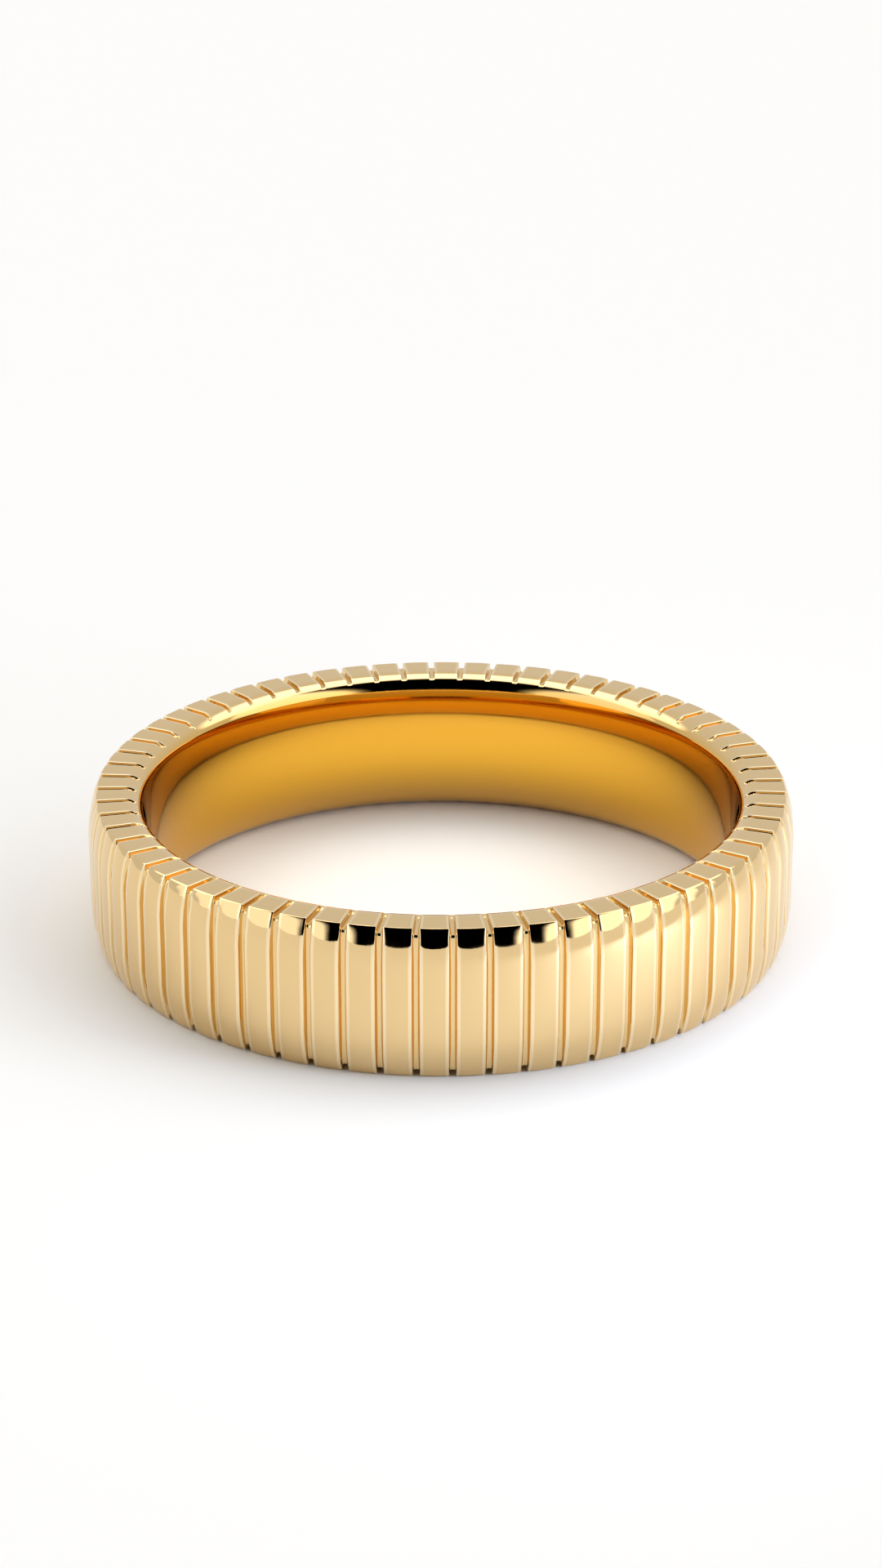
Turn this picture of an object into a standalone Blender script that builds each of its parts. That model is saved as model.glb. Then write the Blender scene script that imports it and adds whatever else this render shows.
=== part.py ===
"""A fluted band ring: one solid gold band with upright flat ribs all round, lying on its side.

Metres, +Z up. The origin is at the middle of the underside, on the surface that the ring lies on.
The ring's axis is +Z, and a rib is centred on each of +X, -X, +Y and -Y.
"""

import math

import bmesh
import bpy
from mathutils import Matrix, Vector

# The band
BORE_DIAMETER = 0.0174  # at the middle of the band's width, where the bore is tightest
WALL = 0.0018  # from there out to the flat face of a rib
BAND_WIDTH = 0.0045  # along the ring's axis, so it is the height of the ring as it lies
BORE_END_TILT = math.radians(10)  # the bore is slightly barrelled, and leans out by this at its ends

# The ribs, and the grooves that part them
RIB_COUNT = 64
GROOVE_WIDTH = 0.00036  # between the faces of two ribs
GROOVE_FLOOR = 0.00014  # the flat bottom of a groove
GROOVE_DEPTH = 0.00020

# The roundings: each one's reach across the end of the band, and its drop along the width
OUTER_CORNER_REACH = 0.00030
OUTER_CORNER_DROP = 0.00115
INNER_CORNER_REACH = 0.00060
INNER_CORNER_DROP = 0.00047
CORNER_LIMIT = 0.9  # a rounding takes no more than this share of the metal that it is cut in

# Into how many straight steps each stretch of the section is divided
OUTER_CORNER_STEPS = 5
RUN_OUT_STEPS = 3
INNER_CORNER_STEPS = 2
BORE_STEPS = 3

GOLD = (0.83, 0.55, 0.22, 1.0)
GOLD_ROUGHNESS = 0.08
SHARP_ANGLE = math.radians(35)
WELD_DISTANCE = 1e-6

half_pitch = math.pi / RIB_COUNT
bore_radius = BORE_DIAMETER / 2
outer_radius = bore_radius + WALL
middle = BAND_WIDTH / 2
bore_lean = math.tan(BORE_END_TILT)

# The roundings give way together where the wall or the width is too slight for them.
end_wall = WALL - middle * bore_lean / 2
reach_share = min(1, CORNER_LIMIT * end_wall / (OUTER_CORNER_REACH + INNER_CORNER_REACH))
outer_reach = OUTER_CORNER_REACH * reach_share
inner_reach = INNER_CORNER_REACH * reach_share
outer_drop = min(OUTER_CORNER_DROP, CORNER_LIMIT * middle)
inner_drop = min(INNER_CORNER_DROP, CORNER_LIMIT * middle)

# The inner rounding takes over from the bore's curve at the angle where both lean the same way.
take_over = math.atan(bore_lean * inner_drop / inner_reach)
bore_reach = middle - inner_drop * (1 - math.sin(take_over))
bore_flare = bore_reach * bore_lean / 2
flat_start = bore_radius + bore_flare + inner_reach * math.cos(take_over)
run_out = math.asin(1 - GROOVE_DEPTH / inner_drop)


def evenly(start, end, steps):
    """The values from start to end in equal steps, with both ends."""
    return [start + (end - start) * step / steps for step in range(steps + 1)]


def half_rib(radius, groove):
    """Half the width of a rib at this radius, between two grooves of this width."""
    return radius * math.tan(half_pitch) - groove / (2 * math.cos(half_pitch))


def bore_curve(rise):
    """(radius, height) on the bore, this far above its middle."""
    return bore_radius + bore_flare * (rise / bore_reach) ** 2, middle + rise


def inner_corner(angle):
    """(radius, height) on the rounding between the bore and the band's end."""
    radius = flat_start - inner_reach * math.cos(angle)
    return radius, BAND_WIDTH - inner_drop * (1 - math.sin(angle))


def outer_corner(angle, below):
    """(radius, height) on the rounding between the band's end and its face, or this far below it."""
    radius = outer_radius - outer_reach + (outer_reach - below) * math.cos(angle)
    return radius, BAND_WIDTH - outer_drop + (outer_drop - below) * math.sin(angle)


def upper_outline(below):
    """(radius, height, groove width) from the middle of the bore, over the band's end, to its face.

    With below at 0 it lies on a rib, and with the groove's depth it lies on a groove's floor,
    which runs out on the inner rounding.
    """
    top = math.pi / 2
    floor_height = BAND_WIDTH - GROOVE_DEPTH
    plain = [bore_curve(rise) for rise in evenly(0, bore_reach, BORE_STEPS)]
    plain += [inner_corner(angle) for angle in evenly(take_over, run_out, INNER_CORNER_STEPS)[1:]]
    outline = [(radius, height, GROOVE_FLOOR) for radius, height in plain]
    for angle in evenly(run_out, top, RUN_OUT_STEPS)[1:]:
        radius, height = inner_corner(angle)
        opened = (height - floor_height) / GROOVE_DEPTH
        groove = GROOVE_FLOOR + (GROOVE_WIDTH - GROOVE_FLOOR) * opened
        outline.append((radius, min(height, BAND_WIDTH - below), groove))
    for angle in evenly(top, 0, OUTER_CORNER_STEPS):
        outline.append((*outer_corner(angle, below), GROOVE_WIDTH))
    return outline


def section(side, below):
    """Points round the whole band's section, along one side of the rib at +X or of its groove's floor."""
    upper = upper_outline(below)
    lower = [(radius, BAND_WIDTH - height, groove) for radius, height, groove in reversed(upper[1:])]
    return [
        Vector((radius, side * half_rib(radius, GROOVE_FLOOR if below else groove), height))
        for radius, height, groove in upper + lower
    ]


def stretch(mesh, edges, points):
    """Extrudes a closed loop of edges to the next section, and returns the loop there."""
    made = bmesh.ops.extrude_edge_only(mesh, edges=edges)["geom"]
    verts = [item for item in made if isinstance(item, bmesh.types.BMVert)]
    for vert, point in zip(verts, points, strict=True):
        vert.co = point
    return [item for item in made if isinstance(item, bmesh.types.BMEdge) and item.is_boundary]


def fluted_band():
    """One rib and the groove beside it, stretched from section to section and turned all round."""
    mesh = bmesh.new()
    first, *others = (
        section(-1, GROOVE_DEPTH),
        section(-1, 0),
        section(1, 0),
        section(1, GROOVE_DEPTH),
    )
    next_rib = Matrix.Rotation(2 * half_pitch, 3, "Z")
    others.append([next_rib @ point for point in first])
    verts = [mesh.verts.new(point) for point in first]
    edges = [mesh.edges.new(ends) for ends in zip(verts, verts[1:] + verts[:1], strict=True)]
    for points in others:
        edges = stretch(mesh, edges, points)
    bmesh.ops.spin(
        mesh,
        geom=mesh.verts[:] + mesh.edges[:] + mesh.faces[:],
        axis=(0, 0, 1),
        angle=2 * half_pitch * (RIB_COUNT - 1),
        steps=RIB_COUNT - 1,
        use_duplicate=True,
    )
    bmesh.ops.remove_doubles(mesh, verts=mesh.verts[:], dist=WELD_DISTANCE)
    bmesh.ops.recalc_face_normals(mesh, faces=mesh.faces[:])
    return mesh


def polished_gold():
    """Yellow gold, polished all over."""
    material = bpy.data.materials.new("polished_gold")
    material.use_nodes = True
    shader = material.node_tree.nodes["Principled BSDF"]
    shader.inputs["Base Color"].default_value = GOLD
    shader.inputs["Metallic"].default_value = 1
    shader.inputs["Roughness"].default_value = GOLD_ROUGHNESS
    return material


def add_solid(name, mesh, material):
    """Puts the mesh in the scene as one named object, smooth across its gentle edges."""
    data = bpy.data.meshes.new(name)
    mesh.to_mesh(data)
    mesh.free()
    data.materials.append(material)
    data.shade_smooth()
    data.set_sharp_from_angle(angle=SHARP_ANGLE)
    solid = bpy.data.objects.new(name, data)
    bpy.context.scene.collection.objects.link(solid)
    return solid


for old in list(bpy.data.objects):
    bpy.data.objects.remove(old)

add_solid("fluted_band", fluted_band(), polished_gold())
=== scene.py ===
import math

import bmesh
import bpy
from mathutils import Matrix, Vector


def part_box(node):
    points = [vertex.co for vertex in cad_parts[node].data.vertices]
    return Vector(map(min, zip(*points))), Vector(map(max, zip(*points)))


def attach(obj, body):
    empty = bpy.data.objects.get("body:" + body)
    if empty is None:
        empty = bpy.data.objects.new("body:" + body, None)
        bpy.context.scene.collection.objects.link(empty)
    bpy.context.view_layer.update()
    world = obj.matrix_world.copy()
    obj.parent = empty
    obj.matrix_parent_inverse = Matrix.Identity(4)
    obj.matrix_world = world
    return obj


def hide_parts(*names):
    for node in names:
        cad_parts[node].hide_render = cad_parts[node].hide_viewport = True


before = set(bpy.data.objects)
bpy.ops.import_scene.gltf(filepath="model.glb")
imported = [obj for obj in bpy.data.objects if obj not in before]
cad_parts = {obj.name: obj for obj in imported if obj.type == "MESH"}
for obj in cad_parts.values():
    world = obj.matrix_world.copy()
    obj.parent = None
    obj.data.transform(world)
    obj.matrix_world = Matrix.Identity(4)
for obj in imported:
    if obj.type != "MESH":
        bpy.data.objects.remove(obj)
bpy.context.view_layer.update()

# The band: a ring of solid yellow gold, turned to its section and then fluted all round by straight
# cuts along its face, which carry on across both of its ends and run out on the inner roundings.
# The cuts leave 64 flat ribs, each a little crowned, whose edges are softened by the polishing.
MM = 0.001
RIB_COUNT = 64
RIB_CROWN = 0.020 * MM  # how far a rib's edges lie below its middle, beyond the ring's own curve
RIB_CROWN_AT_END = 0.15  # the share of that crown which is left on the flat ends of the band
CORNER_CROWN = 1.0  # the share by which the wheel has crowned the ribs more on the outer corners
RIB_LINES = (-0.88, -0.5, 0, 0.5, 0.88)  # the lines along a rib's face, as shares of its half width
GROOVE_DEPTH = 0.20 * MM  # below the middle of a rib
GROOVE_FLOOR = 0.05 * MM  # the flat bottom of a groove
RUN_OUT = 0.62 * MM  # how far it takes a groove's floor to rise by its depth, on the inner rounding
FLOOR_ROUNDING = 0.06 * MM  # the radius from that flat to a groove's side
# The slope of a groove's sides, and the softened edge of a rib: its reach across the rib, and its
# drop into the groove. The wheel has taken less from the edges on the band's ends.
FACE_GROOVE = (math.radians(80), 0.080 * MM, 0.040 * MM)
END_GROOVE = (math.radians(86), 0.050 * MM, 0.018 * MM)
BORE_DIAMETER = 17.4 * MM  # at the middle of the band's width, where the bore is tightest
BORE_END_TILT = math.radians(10)  # the bore is barrelled, and leans out by this at its ends
# The roundings: each one's reach across the end of the band, and its drop along the width.
OUTER_CORNER_REACH = 0.30 * MM
OUTER_CORNER_DROP = 1.15 * MM
OUTER_CORNER_FULLNESS = 1.62  # 2 would be an ellipse and 1 a straight chamfer
INNER_CORNER_REACH = 0.60 * MM
INNER_CORNER_DROP = 0.47 * MM
FLAT_HOLD = 0.03 * MM  # a line this far inside each edge of the flat ends keeps them flat
PAINTED_HIGHLIGHT = 1.0  # a painted highlight, which makes the rib edges paler where they would catch the light
PAINTED_GROOVE_SHADE = -1.0  # a painted shade, a deeper amber tone on the sides of the grooves
EDGE_PAINTED_LIGHT = (PAINTED_GROOVE_SHADE, 0, PAINTED_HIGHLIGHT, PAINTED_HIGHLIGHT, PAINTED_HIGHLIGHT)  # painted shade and painted highlight, up a rib's softened edge, out of the groove
# Into how many steps each stretch of the section, and the rounding of a groove's floor, is divided
BORE_STEPS = 5
INNER_CORNER_STEPS = 11
OUTER_CORNER_STEPS = 10
FLOOR_STEPS = 3
WELD_DISTANCE = 0.0005 * MM
FLATS_WEIGHT = 60  # above 50, the larger faces count for more where faces are shaded as one

low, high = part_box("fluted_band")
outer_radius = (high.x - low.x) / 2
band_width = high.z - low.z
middle = band_width / 2
half_pitch = math.pi / RIB_COUNT
upright = math.pi / 2
bore_lean = math.tan(BORE_END_TILT)
take_over = math.atan(bore_lean * INNER_CORNER_DROP / INNER_CORNER_REACH)
bore_reach = middle - INNER_CORNER_DROP * (1 - math.sin(take_over))
bore_flare = bore_reach * bore_lean / 2
flat_start = BORE_DIAMETER / 2 + bore_flare + INNER_CORNER_REACH * math.cos(take_over)


def evenly(start, end, steps):
    """The values from start to end in equal steps, with both ends."""
    return [start + (end - start) * step / steps for step in range(steps + 1)]


def rounding(reach, drop, start, end, steps, fullness=2):
    """(share of its reach, share of its drop) round a corner, turning in equal steps."""
    power = 1 / (fullness - 1)
    shares = []
    for lean in evenly(start, end, steps):
        out, up = (reach * math.cos(lean)) ** power, (drop * math.sin(lean)) ** power
        whole = (out**fullness + up**fullness) ** (1 / fullness)
        shares.append((out / whole, up / whole))
    return shares


def groove_side(slope, edge_reach, edge_drop):
    """(offset, share of the depth, painted light mark) from the middle of a groove's floor up to a
    rib's edge.
    """
    halfway = GROOVE_FLOOR / 4
    side = [(0, GROOVE_DEPTH, 0), (halfway, GROOVE_DEPTH, 0)]
    for angle in evenly(0, slope, FLOOR_STEPS):
        foot = GROOVE_FLOOR / 2 + FLOOR_ROUNDING * math.sin(angle)
        foot_depth = GROOVE_DEPTH - FLOOR_ROUNDING * (1 - math.cos(angle))
        side.append((foot, foot_depth, PAINTED_GROOVE_SHADE))
    edge = rounding(edge_reach, edge_drop, upright - slope, upright, len(EDGE_PAINTED_LIGHT) - 1)
    out, up = edge[0]
    rib_edge = foot + (foot_depth - edge_drop * (1 - up)) / math.tan(slope) + edge_reach * out
    for (out, up), light_mark in zip(edge, EDGE_PAINTED_LIGHT, strict=True):
        side.append((rib_edge - edge_reach * out, edge_drop * (1 - up), light_mark))
    return [(offset, depth / GROOVE_DEPTH, painted_light) for offset, depth, painted_light in side]


def lines_across(groove):
    """(side, offset, crown share, depth share, painted light mark) of lines over a rib and its half
    grooves.
    """
    side = groove_side(*groove)
    rib_edge = side[-1][0]
    left = [(-1, offset, 1, depth, painted_light) for offset, depth, painted_light in side]
    right = [(1, offset, 1, depth, painted_light) for offset, depth, painted_light in reversed(side)]
    face = [(share, rib_edge, share * share, 0, 0) for share in RIB_LINES]
    return left + face + right


def blend(start, end, share):
    """The values this share of the way from one line to another."""
    return [a + (b - a) * share for a, b in zip(start, end, strict=True)]


def upper_outline(end_line, face_line):
    """(radius, height, side, offset, opened) from the bore, over the band's end, to its face.

    Opened is 0 where no groove is cut, and grows to 1 where the grooves have their whole depth.
    """
    side, offset, crown_share, depth_share = end_line
    outline = []
    for rise in evenly(0, bore_reach, BORE_STEPS):
        radius = BORE_DIAMETER / 2 + bore_flare * (rise / bore_reach) ** 2
        outline.append((radius, middle + rise, side, offset, 0))
    end_crown = RIB_CROWN * RIB_CROWN_AT_END * crown_share
    floor_height = band_width - end_crown - depth_share * (GROOVE_DEPTH - end_crown)
    inner_corner = (INNER_CORNER_REACH, INNER_CORNER_DROP, BORE_END_TILT, upright)
    for out, up in rounding(*inner_corner, INNER_CORNER_STEPS)[1:]:
        below_end = INNER_CORNER_DROP * (1 - up)
        floor_rise = (INNER_CORNER_REACH * out / RUN_OUT) ** 2
        height = min(band_width - below_end, floor_height + depth_share * GROOVE_DEPTH * floor_rise)
        opened = max(0, 1 - floor_rise - below_end / GROOVE_DEPTH)
        outline.append((flat_start - INNER_CORNER_REACH * out, height, side, offset, opened))
    flat_end = outer_radius - OUTER_CORNER_REACH
    outline.append((flat_start + FLAT_HOLD, floor_height, side, offset, 1))
    outline.append((flat_end - FLAT_HOLD, floor_height, side, offset, 1))
    outer_corner = (OUTER_CORNER_REACH, OUTER_CORNER_DROP, upright, 0)
    for out, up in rounding(*outer_corner, OUTER_CORNER_STEPS, OUTER_CORNER_FULLNESS):
        widened = 1 - (1 - out) ** 3  # a groove soon gets the width that it has on the face
        side, offset, crown_share, depth_share = blend(end_line, face_line, widened)
        extra_crown = CORNER_CROWN * 4 * out * (1 - out)  # the most of it is halfway out
        crown_here = RIB_CROWN_AT_END + (1 - RIB_CROWN_AT_END) * out + extra_crown
        crown = RIB_CROWN * crown_share * crown_here
        below = crown + depth_share * (GROOVE_DEPTH - crown)
        radius = flat_end + (OUTER_CORNER_REACH - below) * out
        height = band_width - OUTER_CORNER_DROP + (OUTER_CORNER_DROP - below) * up
        outline.append((radius, height, side, offset, 1))
    return outline


def section(end_line, face_line):
    """(point, opened) round the band's section, along one line of the ends and of the face."""
    upper = upper_outline(end_line, face_line)
    lower = [(radius, band_width - height, *rest) for radius, height, *rest in reversed(upper[1:])]
    around = []
    for radius, height, side, offset, opened in upper + lower:
        angle = side * (half_pitch - math.asin(offset / radius))
        point = Vector((radius * math.cos(angle), radius * math.sin(angle), height))
        around.append((point, opened))
    return around


def stretch(mesh, edges, around, painted_light):
    """Extrudes a closed loop of edges to the next section, and returns the loop there."""
    made = bmesh.ops.extrude_edge_only(mesh, edges=edges)["geom"]
    verts = [item for item in made if isinstance(item, bmesh.types.BMVert)]
    for vert, (point, opened) in zip(verts, around, strict=True):
        vert.co = point
        vert[painted_light_layer] = painted_light * opened
    return [item for item in made if isinstance(item, bmesh.types.BMEdge) and item.is_boundary]


def finished_object(name, mesh):
    """Puts a finished mesh in the scene, smooth all over, and returns its object."""
    data = bpy.data.meshes.new(name)
    mesh.to_mesh(data)
    mesh.free()
    data.shade_smooth()
    made = bpy.data.objects.new(name, data)
    bpy.context.scene.collection.objects.link(made)
    return made


band_mesh = bmesh.new()
# Painted light on each point: above 0 a painted highlight on rib edges, below 0 painted groove
# shade
painted_light_layer = band_mesh.verts.layers.float.new("painted_light")
loop = []
for end_line, face_line in zip(lines_across(END_GROOVE), lines_across(FACE_GROOVE), strict=True):
    painted_light = face_line[-1]
    around = section(end_line[:-1], face_line[:-1])
    if loop:
        loop = stretch(band_mesh, loop, around, painted_light)
        continue
    rim = []
    for point, opened in around:
        rim.append(band_mesh.verts.new(point))
        rim[-1][painted_light_layer] = painted_light * opened
    loop = [band_mesh.edges.new(ends) for ends in zip(rim, rim[1:] + rim[:1], strict=True)]
bmesh.ops.spin(
    band_mesh,
    geom=band_mesh.verts[:] + band_mesh.edges[:] + band_mesh.faces[:],
    axis=(0, 0, 1),
    angle=2 * half_pitch * (RIB_COUNT - 1),
    steps=RIB_COUNT - 1,
    use_duplicate=True,
)
bmesh.ops.remove_doubles(band_mesh, verts=band_mesh.verts[:], dist=WELD_DISTANCE)
bmesh.ops.recalc_face_normals(band_mesh, faces=band_mesh.faces[:])
band = finished_object("polished_band", band_mesh)
flats_stay_flat = band.modifiers.new("flats_stay_flat", "WEIGHTED_NORMAL")
flats_stay_flat.weight = FLATS_WEIGHT


def linear(hex_colour):
    """An sRGB hex colour as linear red, green, blue and an alpha of 1."""
    shares = [int(hex_colour[start : start + 2], 16) / 255 for start in (1, 3, 5)]
    return (*[s / 12.92 if s <= 0.04045 else ((s + 0.055) / 1.055) ** 2.4 for s in shares], 1)


def add_node(tree, kind, settings=(), values=(), links=()):
    """Adds a node with its settings, its input values by name, and links into its inputs."""
    node = tree.nodes.new(kind)
    for name, value in dict(settings).items():
        setattr(node, name, value)
    for name, value in dict(values).items():
        node.inputs[name].default_value = value
    for name, source in dict(links).items():
        tree.links.new(source, node.inputs[name])
    return node


# Yellow gold, mirror polished by hand on a wheel: the surroundings show in it sharply, with patches
# a little hazier where the wheel pressed less. The rib edges are painted paler, a painted
# highlight, and the sides of the grooves and the bore a deeper, more amber tone: painted shade, and
# in the bore also painted reflections of the gold in itself.
GOLD_ON_RIBS = "#E8C993"
GOLD_PAINTED_HIGHLIGHT = "#F6DFB4"
GOLD_PAINTED_GROOVE_SHADE = "#E9C88E"
GOLD_PAINTED_BORE_SHADE = "#E2AC3C"
BORE_SHADE_END = 9.1 * MM  # the radius by which the bore's painted shade has given way to the ribs' own gold
HAZE_PATCH = 1.5 * MM  # the usual width of a patch that one pass of the wheel leaves
HAZE_OCTAVES = 3
USUAL_NOISE = (0.3, 0.7)  # nearly all values of the noise lie between these
CLEAREST = 0.035  # the roughness where the wheel pressed most
HAZIEST = 0.07

polished_gold = bpy.data.materials.new("polished_gold")
polished_gold.use_nodes = True
tree = polished_gold.node_tree
gold = tree.nodes["Principled BSDF"]
gold.inputs["Metallic"].default_value = 1
place = add_node(tree, "ShaderNodeTexCoord")
across = add_node(
    tree,
    "ShaderNodeVectorMath",
    {"operation": "MULTIPLY"},
    {1: (1, 1, 0)},
    {0: place.outputs["Object"]},
)
from_axis = add_node(
    tree,
    "ShaderNodeVectorMath",
    {"operation": "LENGTH"},
    {},
    {0: across.outputs["Vector"]},
)
# painted shade and painted amber reflections in the bore, fading out towards the ribs
bore_shade_share = add_node(
    tree,
    "ShaderNodeMapRange",
    {"interpolation_type": "SMOOTHSTEP"},
    {"From Min": BORE_DIAMETER / 2, "From Max": BORE_SHADE_END, "To Min": 1, "To Max": 0},
    {"Value": from_axis.outputs["Value"]},
)
tone = add_node(
    tree,
    "ShaderNodeMix",
    {"data_type": "RGBA"},
    {"A": linear(GOLD_ON_RIBS), "B": linear(GOLD_PAINTED_BORE_SHADE)},
    {"Factor": bore_shade_share.outputs["Result"]},
)
# the painted light mark: painted highlight on the rib edges, painted shade on the groove sides
painted_light_mask = add_node(tree, "ShaderNodeAttribute", {"attribute_name": "painted_light"})
# the share of the painted highlight, which makes the rib edges paler
highlight_share = add_node(
    tree,
    "ShaderNodeMath",
    {"operation": "MULTIPLY", "use_clamp": True},
    {1: 1 / PAINTED_HIGHLIGHT},
    {0: painted_light_mask.outputs["Fac"]},
)
# the share of the painted shade, a deeper amber tone on the sides of the grooves
groove_shade_share = add_node(
    tree,
    "ShaderNodeMath",
    {"operation": "MULTIPLY", "use_clamp": True},
    {1: 1 / PAINTED_GROOVE_SHADE},
    {0: painted_light_mask.outputs["Fac"]},
)
highlighted_tone = add_node(
    tree,
    "ShaderNodeMix",
    {"data_type": "RGBA"},
    {"B": linear(GOLD_PAINTED_HIGHLIGHT)},
    {"Factor": highlight_share.outputs["Value"], "A": tone.outputs["Result"]},
)
groove_tone = add_node(
    tree,
    "ShaderNodeMix",
    {"data_type": "RGBA"},
    {"B": linear(GOLD_PAINTED_GROOVE_SHADE)},
    {"Factor": groove_shade_share.outputs["Value"], "A": highlighted_tone.outputs["Result"]},
)
tree.links.new(groove_tone.outputs["Result"], gold.inputs["Base Color"])
haze = add_node(
    tree,
    "ShaderNodeTexNoise",
    {},
    {"Scale": 1 / HAZE_PATCH, "Detail": HAZE_OCTAVES},
    {"Vector": place.outputs["Object"]},
)
polish = add_node(
    tree,
    "ShaderNodeMapRange",
    {},
    {
        "From Min": USUAL_NOISE[0],
        "From Max": USUAL_NOISE[1],
        "To Min": CLEAREST,
        "To Max": HAZIEST,
    },
    {"Value": haze.outputs["Fac"]},
)
tree.links.new(polish.outputs["Result"], gold.inputs["Roughness"])
band.data.materials.append(polished_gold)
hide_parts("fluted_band")
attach(band, "root")


# The table: a plain white sheet of uncoated paper, which runs on past the view on all sides. It
# scatters the light evenly, and hardly mirrors the ring.
SHEET_SIDE = 3.0
SHEET_GAP = 0.01 * MM  # keeps the sheet just clear of the ring's underside
SHEET_WHITE = "#F4F3F1"
SHEET_ROUGHNESS = 0.9
SHEET_SPECULAR = 0.1
sheet_mesh = bmesh.new()
bmesh.ops.create_grid(sheet_mesh, x_segments=1, y_segments=1, size=SHEET_SIDE / 2)
bmesh.ops.translate(sheet_mesh, verts=sheet_mesh.verts[:], vec=(0, 0, -SHEET_GAP))
sheet = finished_object("white_sheet", sheet_mesh)
matt_white = bpy.data.materials.new("matt_white")
matt_white.use_nodes = True
paper = matt_white.node_tree.nodes["Principled BSDF"]
paper.inputs["Base Color"].default_value = linear(SHEET_WHITE)
paper.inputs["Roughness"].default_value = SHEET_ROUGHNESS
paper.inputs["Specular IOR Level"].default_value = SHEET_SPECULAR
sheet.data.materials.append(matt_white)


# The light: a pale room with a bright soft box on each side and one above, and a black cloth hung
# in front, round the camera, which gives the roundings one dark streak. Each panel spans a stretch
# sideways, and a stretch of the way from the front horizon (0) over the top to the back (180).
ROOM = 0.77
LIGHT_COLOUR = "#FFFFFF"
PANELS = {  # its stretch sideways and its stretch over the top, in degrees, and its radiance
    "left_soft_box": ((-80, -34), (-5, 92), 1.35),
    "right_soft_box": ((34, 80), (-5, 92), 1.75),
    "top_soft_box": ((-60, 60), (87, 125), 2.15),
    "black_cloth": ((-32, 32), (-10, 86), 0.0),
}
PANEL_EDGE = 10  # degrees over which a panel fades

world = bpy.data.worlds.new("studio")
world.use_nodes = True
tree = world.node_tree
direction = add_node(tree, "ShaderNodeTexCoord")
axes = add_node(tree, "ShaderNodeSeparateXYZ", {}, {}, {"Vector": direction.outputs["Generated"]})
sideways = add_node(tree, "ShaderNodeMath", {"operation": "ARCSINE"}, {}, {0: axes.outputs["X"]})
front = add_node(
    tree,
    "ShaderNodeMath",
    {"operation": "MULTIPLY"},
    {1: -1},
    {0: axes.outputs["Y"]},
)
over = add_node(
    tree,
    "ShaderNodeMath",
    {"operation": "ARCTAN2"},
    {},
    {0: axes.outputs["Z"], 1: front.outputs["Value"]},
)


def span(angle, start, end):
    """1 where the angle lies between start and end, fading to 0 over a panel's edge."""
    centre = math.radians((start + end) / 2)
    half = math.radians((end - start) / 2)
    half_edge = math.radians(PANEL_EDGE / 2)
    off = add_node(tree, "ShaderNodeMath", {"operation": "SUBTRACT"}, {1: centre}, {0: angle})
    distance = add_node(
        tree,
        "ShaderNodeMath",
        {"operation": "ABSOLUTE"},
        {},
        {0: off.outputs["Value"]},
    )
    fade = add_node(
        tree,
        "ShaderNodeMapRange",
        {"interpolation_type": "SMOOTHSTEP"},
        {"From Min": half - half_edge, "From Max": half + half_edge, "To Min": 1, "To Max": 0},
        {"Value": distance.outputs["Value"]},
    )
    return fade.outputs["Result"]


brightness = add_node(tree, "ShaderNodeValue")
brightness.outputs["Value"].default_value = ROOM
level = brightness.outputs["Value"]
for (left, right), (start, end), radiance in PANELS.values():
    in_width = span(sideways.outputs["Value"], left, right)
    in_height = span(over.outputs["Value"], start, end)
    panel = add_node(
        tree,
        "ShaderNodeMath",
        {"operation": "MULTIPLY"},
        {},
        {0: in_width, 1: in_height},
    )
    mixed = add_node(
        tree,
        "ShaderNodeMix",
        {"data_type": "FLOAT"},
        {"B": radiance},
        {"Factor": panel.outputs["Value"], "A": level},
    )
    level = mixed.outputs["Result"]
tree.links.new(level, tree.nodes["Background"].inputs["Strength"])
tree.nodes["Background"].inputs["Color"].default_value = linear(LIGHT_COLOUR)
bpy.context.scene.world = world
bpy.context.scene.view_settings.view_transform = "Standard"


# The lamps: a small one close to the right and a wide one high behind, which brighten the sheet
# that the ribs mirror, and a narrow one straight above, which does the same for the bore. None of
# them shows in the gold itself.
PANEL_LAMPS = {  # where it hangs, the side of its square, its watts and its colour
    "right_lamp": ((0.021, -0.015, 0.010), 0.008, 0.0028, "#D2E2FF"),
    "overhead_lamp": ((-0.1, 0.3, 0.6), 0.5, 0.15, "#FFFFFF"),
}
BORE_LAMP_HEIGHT = 0.060
BORE_LAMP_REACH = 8 * MM  # how far from the middle of the bore it still shines
BORE_LAMP_WATTS = 0.04
BORE_LAMP_COLOUR = "#FFE9C4"
BORE_LAMP_FADE = 0.5  # the share of its beam over which it fades
BORE_LAMP_SIZE = 3 * MM


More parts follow.
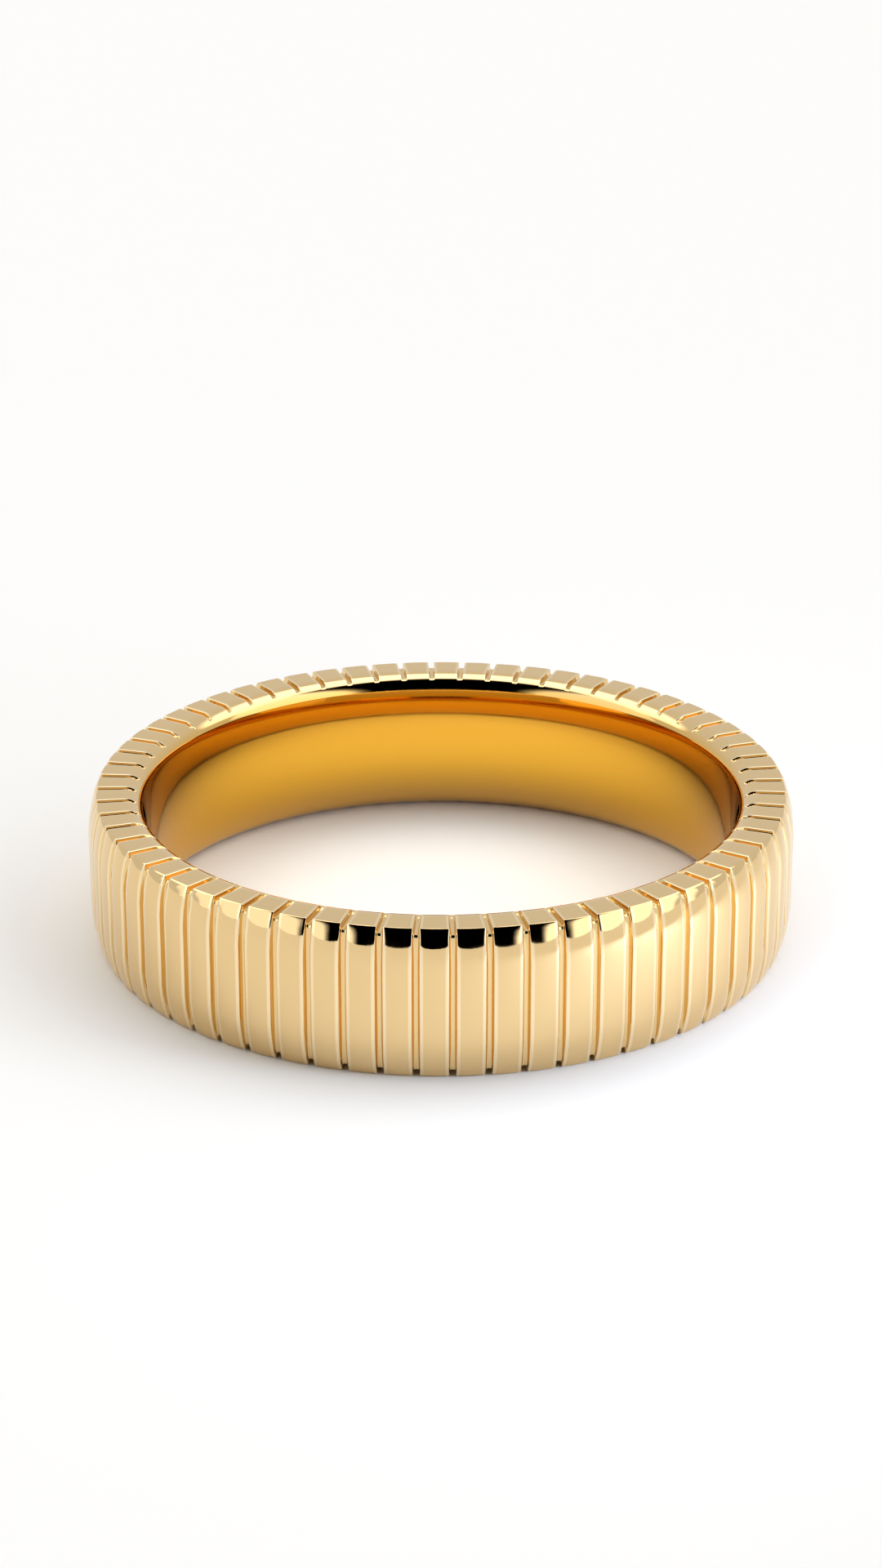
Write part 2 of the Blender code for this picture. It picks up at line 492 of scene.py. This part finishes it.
def hang_lamp(lamp_data, where):
    """Hangs a lamp there, pointed at the ring, and keeps it out of the gold's reflections."""
    lamp = bpy.data.objects.new(lamp_data.name, lamp_data)
    lamp.location = where
    lamp.rotation_euler = lamp.location.to_track_quat("Z", "Y").to_euler()
    lamp.visible_glossy = False
    lamp.visible_camera = False
    bpy.context.scene.collection.objects.link(lamp)


for name, (where, lamp_side, watts, colour) in PANEL_LAMPS.items():
    lamp_data = bpy.data.lights.new(name, "AREA")
    lamp_data.size = lamp_side
    lamp_data.energy = watts
    lamp_data.color = linear(colour)[:3]
    hang_lamp(lamp_data, where)
bore_lamp = bpy.data.lights.new("bore_lamp", "SPOT")
bore_lamp.energy = BORE_LAMP_WATTS
bore_lamp.color = linear(BORE_LAMP_COLOUR)[:3]
bore_lamp.spot_size = 2 * math.atan(BORE_LAMP_REACH / BORE_LAMP_HEIGHT)
bore_lamp.spot_blend = BORE_LAMP_FADE
bore_lamp.shadow_soft_size = BORE_LAMP_SIZE
hang_lamp(bore_lamp, (0, 0, BORE_LAMP_HEIGHT))


# The camera: it looks down at the middle of the ring's upper side, at the photograph's angle, and
# the ring fills most of the picture's width.
CAMERA_ELEVATION = math.radians(22.7)
CAMERA_TURN = math.radians(1.0)  # round the ring from the middle of a rib, as the photograph has it
CAMERA_DISTANCE = 10.5 * outer_radius
RING_SHARE = 0.80  # of the picture's width
NEAREST_SEEN = 2 * MM

lens_data = bpy.data.cameras.new("camera")
lens_data.sensor_fit = "HORIZONTAL"
lens_data.angle = 2 * math.atan(outer_radius / RING_SHARE / CAMERA_DISTANCE)
lens_data.clip_start = NEAREST_SEEN
camera = bpy.data.objects.new("camera", lens_data)
aim = Vector((0, 0, band_width))
level_share = math.cos(CAMERA_ELEVATION)
back = Vector((
    level_share * math.sin(CAMERA_TURN),
    -level_share * math.cos(CAMERA_TURN),
    math.sin(CAMERA_ELEVATION),
))
camera.location = aim + back * CAMERA_DISTANCE
camera.rotation_euler = back.to_track_quat("Z", "Y").to_euler()
bpy.context.scene.collection.objects.link(camera)
bpy.context.scene.camera = camera
